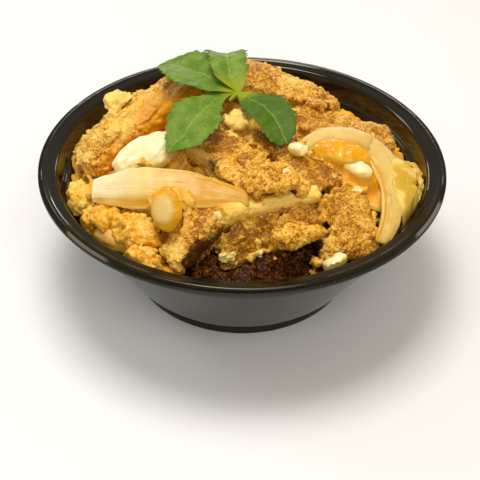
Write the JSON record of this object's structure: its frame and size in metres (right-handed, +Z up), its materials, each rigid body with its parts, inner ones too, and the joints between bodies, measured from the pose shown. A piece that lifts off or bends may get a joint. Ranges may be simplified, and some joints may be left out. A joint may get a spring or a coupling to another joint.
{
  "type": "katsudon",
  "caption": "Round black plastic bowl heaped with sliced breaded pork cutlet, soft cooked egg and onion, topped with a mitsuba sprig.",
  "frame": {"origin": "middle of the bowl's foot, on the surface that it stands on", "axes": "+Z up, +X right and -Y towards the viewer of the picture"},
  "size_m": [0.2, 0.2, 0.1078],
  "materials": {
    "bowl": "gloss black, fine ribs on the lip",
    "egg_bed": "wet, curdled",
    "egg_curd": "wet, soft curds",
    "egg_yolk": "wet, glossy",
    "egg_white": "wet, smooth",
    "katsu": "coarse fried crumbs, damp with sauce",
    "meat": "cut cooked meat, damp",
    "onion": "simmered, half clear, glossy",
    "mitsuba": "thin leaf with veins"
  },
  "bodies": {
    "root": {"bowl": "bowl", "egg_bed": "egg_bed", "egg_curd_1": "egg_curd", "egg_curd_2": "egg_curd", "egg_curd_3": "egg_curd", "egg_curd_4": "egg_curd", "egg_curd_5": "egg_curd", "egg_curd_6": "egg_curd", "egg_curd_7": "egg_curd", "egg_white_1": "egg_white", "egg_white_2": "egg_white", "egg_white_3": "egg_white", "egg_white_4": "egg_white", "egg_white_5": "egg_white", "egg_yolk_1": "egg_yolk", "egg_yolk_2": "egg_yolk", "katsu_1": "katsu", "katsu_2": "katsu", "katsu_3": "katsu", "katsu_4": "katsu", "katsu_5": "katsu", "katsu_6": "katsu", "katsu_7": "katsu", "katsu_8": "katsu", "katsu_9": "katsu", "katsu_1_meat": "meat", "katsu_4_meat": "meat", "katsu_6_meat": "meat", "katsu_7_meat": "meat", "onion_1": "onion", "onion_2": "onion", "onion_3": "onion", "onion_4": "onion", "onion_5": "onion", "onion_6": "onion", "mitsuba": "mitsuba"}
  },
  "joints": []
}
